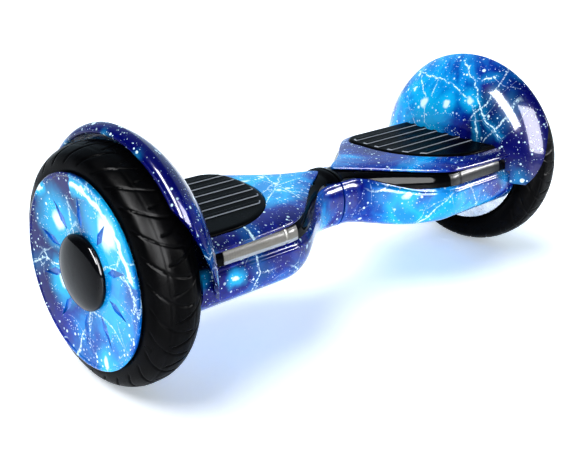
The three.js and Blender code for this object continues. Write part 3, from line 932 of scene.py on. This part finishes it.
def print_arc(n, place, centre, radius, towards, least):
    """The distance from a ring about the axle line, far away where the ring points elsewhere."""
    out = n.vector("MULTIPLY", n.vector("SUBTRACT", place, centre), (0.0, 1.0, 1.0))
    away = n.math("ABSOLUTE", n.math("SUBTRACT", n.vector("LENGTH", out), radius))
    facing = n.vector("DOT_PRODUCT", n.vector("NORMALIZE", out), towards)
    return n.math("ADD", away, n.ranged(facing, least - 0.12, least, 0.05, 0.0))


def print_tone(n, tints, base, soft):
    """The drifting blues."""
    drift = n.noise(7.0, 5.0, 0.6, 0.9)
    value = n.math("MULTIPLY_ADD", drift, 1.7 * soft, base + 0.42 - 0.85 * soft)
    for centre, radius, amount in tints:
        away = n.vector("DISTANCE", n.place, centre)
        value = n.math("ADD", value, n.ranged(away, 0.25 * radius, radius, amount, 0.0))
    value = n.math("MULTIPLY_ADD", n.noise(60.0, 3.0, 0.6), 0.20, n.math("SUBTRACT", value, 0.10))
    return n.ramp(value, PRINT_STOPS)


def print_glows(n, flares, arcs):
    """The cores and the halos of the spots, the flares and the bands of light."""
    core, halo = print_spots(n)
    bent = n.shaken(45.0, 0.020)
    glows = [(n.vector("DISTANCE", bent, centre), radius) for centre, radius in flares]
    for centre, radius, towards, least, half in arcs:
        glows.append((print_arc(n, bent, centre, radius, towards, least), half))
    for away, radius in glows:
        core = n.most(core, n.ranged(away, 0.45 * radius, radius, 1.0, 0.0))
        halo = n.most(halo, n.ranged(away, radius, 3.2 * radius, 0.9, 0.0))
    return core, halo


def print_material(name, tints, flares, arcs=(), lines=(), base=0.0, soft=1.0):
    """A glossy nebula print: drifting blues with stars, glows and branching veins of light.

    In metres, tints are (centre, radius, amount) and lighten or darken; flares are (centre,
    radius); arcs are (centre, radius, direction, least cosine, half width); lines are (plane,
    points), veins through the points as seen in the plane.
    """
    n = Nodes(name)
    color = print_tone(n, tints, base, soft)
    veins, glow = print_veins(n, lines)
    core, halo = print_glows(n, flares, arcs)
    color = n.mixed(n.most(halo, glow), color, HALO_COLOR)
    white = n.most(print_stars(n, veins), core)
    color = n.mixed(white, color, VEIN_COLOR)
    scuffs = n.ranged(n.noise(38.0, 6.0, 0.72), 0.58, 0.72, 0.22, 0.34)
    n.set(Base_Color=color, Roughness=scuffs)
    n.shader.inputs["Specular IOR Level"].default_value = 0.06
    n.shader.inputs["Coat Weight"].default_value = 1.0
    n.shader.inputs["Coat IOR"].default_value = 1.2
    n.shader.inputs["Coat Roughness"].default_value = 0.03
    n.bump(n.noise(130.0, 2.0, 0.5), 0.05, 0.002)
    return n.material


def gloss_black(name, specular):
    n = Nodes(name)
    dust = n.ranged(n.noise(220.0, 5.0, 0.7), 0.55, 0.80)
    n.set(Base_Color=n.mixed(dust, (0.003, 0.003, 0.004), (0.010, 0.010, 0.012)))
    n.set(Roughness=n.ranged(n.noise(26.0, 5.0, 0.7), 0.4, 0.8, 0.07, 0.16))
    n.shader.inputs["Specular IOR Level"].default_value = specular
    n.bump(n.noise(150.0, 2.0), 0.04, 0.002)
    return n.material


# The heights, in metres, where the painted highlight on the flanks of the pad's ribs begins and ends.
RIB_HIGHLIGHT_START, RIB_HIGHLIGHT_END = (0.1662, 0.1664), (0.1672, 0.1675)


def pad_rubber():
    n = Nodes("pad_rubber")
    grain = n.voronoi(1500.0).outputs["Distance"]
    wear = n.ranged(n.noise(30.0, 5.0, 0.65), 0.45, 0.70)
    height = n.coordinate("Z")
    # The rib flanks are painted a pale blue-grey: a painted highlight that stands in for the backdrop's
    # reflection.
    painted_highlight = n.times(n.ranged(height, *RIB_HIGHLIGHT_START), n.ranged(height, *RIB_HIGHLIGHT_END, 1.0, 0.0))
    color = n.mixed(wear, (0.0008, 0.0008, 0.001), (0.0025, 0.0025, 0.003))
    n.set(Base_Color=n.mixed(painted_highlight, color, (0.34, 0.36, 0.40)))
    n.set(Roughness=n.ranged(n.noise(14.0, 4.0, 0.6), 0.3, 0.7, 0.24, 0.34))
    n.shader.inputs["Specular IOR Level"].default_value = 0.02
    n.bump(grain, 0.12, 0.0004)
    return n.material


def tyre_rubber():
    n = Nodes("tyre_rubber")
    dust = n.ranged(n.noise(24.0, 6.0, 0.7), 0.45, 0.75)
    n.set(Base_Color=n.mixed(dust, (0.0012, 0.0012, 0.0016), (0.004, 0.004, 0.005)))
    n.set(Roughness=n.ranged(n.noise(45.0, 4.0, 0.6), 0.3, 0.7, 0.26, 0.40))
    n.shader.inputs["Specular IOR Level"].default_value = 0.03
    n.bump(n.noise(900.0, 4.0, 0.6), 0.18, 0.0006)
    return n.material


def lens_plastic():
    """Ribbed pale plastic with a painted highlight along its lower edge. The right half's lens is
    darkened with painted shade.
    """
    n = Nodes("lens_plastic")
    along, height = n.coordinate("X"), n.coordinate("Z")
    # A painted highlight along the lens's lower edge, in a pale blue-grey.
    edge = n.ranged(height, (LENS_LOW.z + 2.2) * MM, (LENS_LOW.z + 3.6) * MM, 1.0, 0.0)
    body = n.mixed(n.noise(60.0, 2.0), (0.16, 0.15, 0.13), (0.22, 0.205, 0.18))
    # The right half's lens is darkened with painted shade, and loses its painted highlight there.
    painted_shade = n.ranged(along, -0.1, 0.1)
    body = n.mixed(painted_shade, body, (0.012, 0.012, 0.013))
    edge = n.times(edge, n.math("SUBTRACT", 1.0, painted_shade))
    n.set(Base_Color=n.mixed(edge, body, (0.34, 0.37, 0.42)), Roughness=0.34)
    n.shader.inputs["Specular IOR Level"].default_value = 0.2
    n.shader.inputs["Coat Weight"].default_value = 0.1
    n.shader.inputs["Coat Roughness"].default_value = 0.05
    n.bump(n.math("SINE", n.times(along, 1900.0)), 0.10, 0.0004)
    return n.material


def metal(name, color, roughness, scale=(60.0, 900.0, 900.0), amount=0.10):
    """Metal with fine marks drawn out along one direction."""
    n = Nodes(name)
    stretched = n.vector("MULTIPLY", n.place, scale)
    marks = n.noise(1.0, 4.0, 0.65, place=stretched)
    cloud = n.noise(35.0, 4.0, 0.6)
    darker = tuple(0.72 * c for c in color)
    n.set(Base_Color=n.mixed(n.ranged(cloud, 0.35, 0.7), color, darker), Metallic=1.0)
    n.set(Roughness=n.ranged(marks, 0.25, 0.75, roughness - 0.07, roughness + 0.09))
    n.bump(marks, amount, 0.0005)
    return n.material


def plain(name, color, roughness, spread=0.5):
    """Moulded or coated plastic with a little grain and unevenness."""
    n = Nodes(name)
    cloud = n.ranged(n.noise(50.0, 5.0, 0.65), 0.35, 0.70)
    other = tuple(spread * c for c in color)
    n.set(Base_Color=n.mixed(cloud, color, other))
    n.set(Roughness=n.ranged(n.noise(90.0, 4.0, 0.6), 0.3, 0.7, roughness - 0.06, roughness + 0.08))
    n.bump(n.noise(700.0, 3.0, 0.55), 0.12, 0.0004)
    return n.material


def circuit_board():
    """Solder mask over copper tracks, with paler pads."""
    n = Nodes("circuit_board")
    tracks = n.voronoi(160.0, "DISTANCE_TO_EDGE", randomness=0.25).outputs["Distance"]
    track = n.ranged(tracks, 0.05, 0.10, 1.0, 0.0)
    board = n.mixed(n.noise(120.0), (0.006, 0.07, 0.025), (0.010, 0.11, 0.045))
    pads = n.voronoi(230.0).outputs["Distance"]
    color = n.mixed(track, board, (0.03, 0.20, 0.08))
    color = n.mixed(n.ranged(pads, 0.12, 0.17, 1.0, 0.0), color, (0.55, 0.50, 0.38))
    n.set(Base_Color=color, Roughness=0.42)
    n.bump(track, 0.2, 0.0003)
    return n.material


def windings():
    n = Nodes("windings")
    wires = n.add("ShaderNodeTexWave", wave_type="RINGS", rings_direction="X")
    n.feed(wires.inputs["Vector"], n.vector("SUBTRACT", n.place, (WHEEL_S * MM, 0, AXLE_Z * MM)))
    wires.inputs["Scale"].default_value = 330.0
    wires.inputs["Distortion"].default_value = 1.5
    n.set(Base_Color=n.mixed(wires.outputs["Fac"], (0.10, 0.025, 0.010), (0.52, 0.20, 0.08)))
    n.set(Metallic=0.8, Roughness=0.35)
    n.bump(wires.outputs["Fac"], 0.5, 0.0006)
    return n.material


# ---- Pieces ----
def show(obj, body, slot, material, *nodes):
    """Gives a piece its material, or one for each of its material slots, and its place in the frame."""
    for i, m in enumerate(material if isinstance(material, list) else [material]):
        if i < len(obj.data.materials):
            obj.data.materials[i] = m
        else:
            obj.data.materials.append(m)
    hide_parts(*nodes)
    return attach(obj, body)


PRINT_TINTS = [
    ((-0.30, -0.02, 0.22), 0.17, -0.34),
    ((-0.09, 0.02, 0.172), 0.12, 0.50),
    ((-0.17, -0.06, 0.075), 0.10, 0.36),
    ((-0.03, -0.03, 0.12), 0.06, 0.22),
    ((0.14, -0.05, 0.07), 0.15, 0.36),
    ((0.05, 0.02, 0.18), 0.06, 0.30),
    ((0.24, 0.055, 0.235), 0.16, 0.40),
    ((0.28, -0.12, 0.18), 0.14, -0.40),
    ((0.21, -0.10, 0.135), 0.05, 0.14),
]
PRINT_FLARES = [
    ((-0.0825, 0.0282, 0.1645), 0.006),
    ((-0.0935, -0.022, 0.1645), 0.005),
    ((-0.106, 0.0242, 0.1645), 0.008),
    ((0.246, 0.0477, 0.2005), 0.009),
    ((0.2443, 0.0067, 0.2073), 0.007),
    ((0.2485, -0.0293, 0.2179), 0.007),
    ((0.2575, 0.0748, 0.2139), 0.005),
    ((0.0807, -0.0674, 0.1283), 0.006),
    ((-0.2224, -0.1, 0.1209), 0.005),
]
# The planes in which the drawn veins are seen: from the wheel's side, and from above.
SIDE, TOP = (0.0, 1.0, 1.0), (1.0, 1.0, 0.0)
PRINT_LINES = [
    (SIDE, [(0, 0.084, 0.234), (0, 0.032, 0.236), (0, -0.002, 0.230), (0, -0.028, 0.218)]),
    (SIDE, [(0, -0.028, 0.218), (0, -0.042, 0.200), (0, -0.050, 0.168)]),
    (SIDE, [(0, 0.005, 0.261), (0, -0.026, 0.241), (0, -0.044, 0.214), (0, -0.059, 0.194)]),
    (SIDE, [(0, -0.059, 0.194), (0, -0.081, 0.178)]),
    (SIDE, [(0, 0.069, 0.230), (0, 0.046, 0.208), (0, 0.041, 0.174)]),
    (SIDE, [(0, 0.032, 0.236), (0, 0.036, 0.213)]),
    (SIDE, [(0, -0.034, 0.244), (0, -0.050, 0.250)]),
    (TOP, [(-0.072, 0.034, 0), (-0.085, -0.007, 0), (-0.091, -0.050, 0)]),
    (TOP, [(-0.042, 0.029, 0), (-0.085, -0.007, 0), (-0.134, -0.043, 0)]),
    (TOP, [(-0.085, -0.007, 0), (-0.048, -0.005, 0)]),
]
COVER_TINTS = [
    ((-0.33, -0.03, 0.05), 0.12, 0.20),
    ((-0.33, 0.08, 0.21), 0.12, -0.26),
    ((-0.33, 0.10, 0.10), 0.12, -0.20),
    ((-0.33, -0.08, 0.15), 0.09, 0.24),
]
COVER_FLARES = [
    ((-0.338, -0.050, 0.185), 0.021),
    ((-0.338, 0.042, 0.168), 0.015),
    ((-0.338, 0.042, 0.102), 0.011),
    ((-0.338, 0.0717, 0.1974), 0.006),
    ((-0.338, -0.0387, 0.0399), 0.008),
]
COVER_ARCS = [((-0.338, 0.0, 0.127), 0.0885, (0.0, -0.571, 0.821), 0.74, 0.004)]
RECESS_COLOR = (0.004, 0.14, 0.52)

black = gloss_black("gloss_black", 0.045)
cap_black = gloss_black("cap_black", 0.16)
rubber = pad_rubber()
tyre_black = tyre_rubber()
lens = lens_plastic()
rim_metal = metal("rim_metal", (0.80, 0.82, 0.84), 0.26, (250.0, 250.0, 250.0))
case = plain("motor_case", (0.012, 0.012, 0.014), 0.34)
body_print = print_material("body_print", PRINT_TINTS, PRINT_FLARES, lines=PRINT_LINES)
cover_print = print_material("cover_print", COVER_TINTS, COVER_FLARES, COVER_ARCS, base=-0.05, soft=0.7)
recess = plain("cover_recess", RECESS_COLOR, 0.22, spread=0.7)

MADE = {
    "upper_shell": (upper_shell, "half", "printed_shell", body_print),
    "lower_shell": (lower_shell, "half", "printed_shell", body_print),
    "light_lens": (light_lens, "half", "lens", lens),
    "foot_pad": (foot_pad, "foot_pad", "pad_rubber", rubber),
    "tyre": (tyre, "wheel", "tyre", tyre_black),
    "wheel_cover": (wheel_cover, "wheel", "printed_shell", [cover_print, recess]),
    "hub_cap": (hub_cap, "wheel", "black_trim", cap_black),
    "motor_rim": (motor_rim, "wheel", "bright_rim", rim_metal),
    "motor_cover": (motor_cover, "wheel", "motor_case", case),
}
BODY_OF = {"half": "{}_half", "foot_pad": "{}_foot_pad", "wheel": "{}_wheel"}

for node, (make, place, slot, material) in MADE.items():
    right = make()
    right.name = f"{node}_right_look"
    left = mirror_copy(right, f"{node}_left_look")
    for side, obj in (("right", right), ("left", left)):
        show(obj, BODY_OF[place].format(side), slot, material, f"{node}_{side}")


def flap_room():
    """Room in the lower shell for the charge port's flap to swing."""
    low, high = cad("charge_port_flap")
    return block("flap_room", (low.x - 0.6, low.y, low.z - 0.4), (high.x + 0.6, high.y + 6, high.z))


cut(bpy.data.objects["lower_shell_left_look"], flap_room())

right_trim = side_trim(True)
right_trim.name = "side_trim_right_look"
left_source = side_trim(False)
left_trim = mirror_copy(left_source, "side_trim_left_look")
bpy.data.objects.remove(left_source)
show(right_trim, "right_half", "black_trim", black, "side_trim_right")
show(left_trim, "left_half", "black_trim", black, "side_trim_left")

# ---- Finishes of the CAD pieces that stay ----
KEPT = {
    "cast_aluminium": metal("cast_aluminium", (0.50, 0.51, 0.53), 0.45, (300.0, 300.0, 300.0), 0.25),
    "steel": metal("steel", (0.48, 0.49, 0.50), 0.30),
    "brass_parts": metal("brass", (0.60, 0.44, 0.20), 0.30),
    "windings": windings(),
    "circuit_board": circuit_board(),
    "battery_wrap": plain("battery_wrap", (0.02, 0.10, 0.36), 0.25, spread=0.75),
    "socket_shell": plain("socket_shell", (0.02, 0.02, 0.022), 0.30),
    "pad_rubber": rubber,
    "black_trim": black,
    "tyre": tyre_black,
}
slots = {part["node"]: part["material_slot"] for part in frame["record"]["subparts"]}
for name, obj in frame["nodes"].items():
    if not obj.hide_render:
        obj.data.materials.clear()
        obj.data.materials.append(KEPT[slots[name]])

# ---- Camera ----
CAMERA = Vector((-740.7, -717.5, 501.0)) * MM
YAW, PITCH, ROLL = math.radians(43.679), math.radians(21.741), math.radians(1.361)
LENS_MM = 55.27


def place_camera():
    data = bpy.data.cameras.new("camera")
    data.lens, data.sensor_width = LENS_MM, 36.0
    data.clip_end = 200
    camera = in_scene("camera", data)
    ahead = Vector((math.cos(PITCH) * math.sin(YAW), math.cos(PITCH) * math.cos(YAW), -math.sin(PITCH)))
    right = ahead.cross(Vector((0, 0, 1))).normalized()
    up = right.cross(ahead)
    turned_right = right * math.cos(ROLL) + up * math.sin(ROLL)
    turned_up = up * math.cos(ROLL) - right * math.sin(ROLL)
    rows = zip(turned_right, turned_up, -ahead)
    camera.matrix_world = Matrix.Translation(CAMERA) @ Matrix([tuple(r) for r in rows]).to_4x4()
    bpy.context.scene.camera = camera


# ---- Studio ----
def lamp(name, kind, place, target):
    obj = in_scene(name, bpy.data.lights.new(name, kind))
    obj.location = place
    obj.rotation_euler = (Vector(target) - obj.location).to_track_quat("-Z", "Y").to_euler()
    return obj


def softbox(name, place, target, size, power, lean=0.0):
    """A lamp that only shows as a reflection. lean turns it about the line to its target."""
    box = lamp(name, "AREA", place, target)
    box.data.shape, box.data.size, box.data.size_y = "RECTANGLE", *size
    box.data.energy = power
    box.visible_diffuse = False
    box.rotation_euler = (box.rotation_euler.to_quaternion() @ Quaternion((0, 0, 1), lean)).to_euler()


def broad_light(place, strength, spread):
    """A soft sun that lights the board without showing as a reflection."""
    sun = lamp("broad_light", "SUN", place, (0, 0, 0.1))
    sun.data.energy, sun.data.angle = strength, math.radians(spread)
    sun.visible_glossy = False


BACKDROP = (0.639, 0.689, 0.342)
GLOW_START, GLOW_END, DIM, BRIGHT = 0.2, 0.85, 0.06, 0.80
FLOOR_REACH = 2e4


def paint_world():
    """A pale backdrop glowing behind the board, and a dim room in front of it."""
    world = bpy.data.worlds.new("studio")
    bpy.context.scene.world = world
    world.use_nodes = True
    tree = world.node_tree
    place = tree.nodes.new("ShaderNodeTexCoord")
    towards = tree.nodes.new("ShaderNodeVectorMath")
    towards.operation = "DOT_PRODUCT"
    towards.inputs[1].default_value = BACKDROP
    tree.links.new(place.outputs["Generated"], towards.inputs[0])
    glow = tree.nodes.new("ShaderNodeMapRange")
    glow.interpolation_type = "SMOOTHSTEP"
    for socket, value in zip(glow.inputs[1:5], (GLOW_START, GLOW_END, DIM, BRIGHT)):
        socket.default_value = value
    tree.links.new(towards.outputs["Value"], glow.inputs[0])
    sky = tree.nodes["Background"]
    sky.inputs["Color"].default_value = (0.68, 0.86, 1.0, 1)
    tree.links.new(glow.outputs[0], sky.inputs["Strength"])


def pale_floor():
    """A faintly glowing floor that reaches past every view."""
    corners = [(-1, -1, 0), (1, -1, 0), (1, 1, 0), (-1, 1, 0)]
    floor = make_object("floor", np.array(corners) * FLOOR_REACH, [(0, 1, 2, 3)])
    n = Nodes("floor")
    n.set(Base_Color=n.mixed(n.noise(2.0), (0.90, 0.92, 0.95), (0.93, 0.945, 0.965)))
    n.set(Roughness=0.42, Emission_Color=(0.88, 0.94, 1.0), Emission_Strength=0.42)
    floor.data.materials.append(n.material)


def studio():
    paint_world()
    broad_light((-1.2, 0.6, 3.0), 2.9, 50)
    softbox("tall_box", (-0.77, -2.06, 1.36), (0.27, -0.11, 0.19), (1.5, 2.1), 520)
    softbox("slim_box", (-1.70, -0.60, 1.66), (0.26, -0.08, 0.21), (0.65, 1.7), 300, math.radians(45))
    softbox("right_box", (1.81, -1.62, 0.97), (0, -0.1, 0.15), (1.0, 0.4), 95)
    pale_floor()
    view = bpy.context.scene.view_settings
    view.view_transform, view.look = "Standard", "Medium High Contrast"


place_camera()
studio()
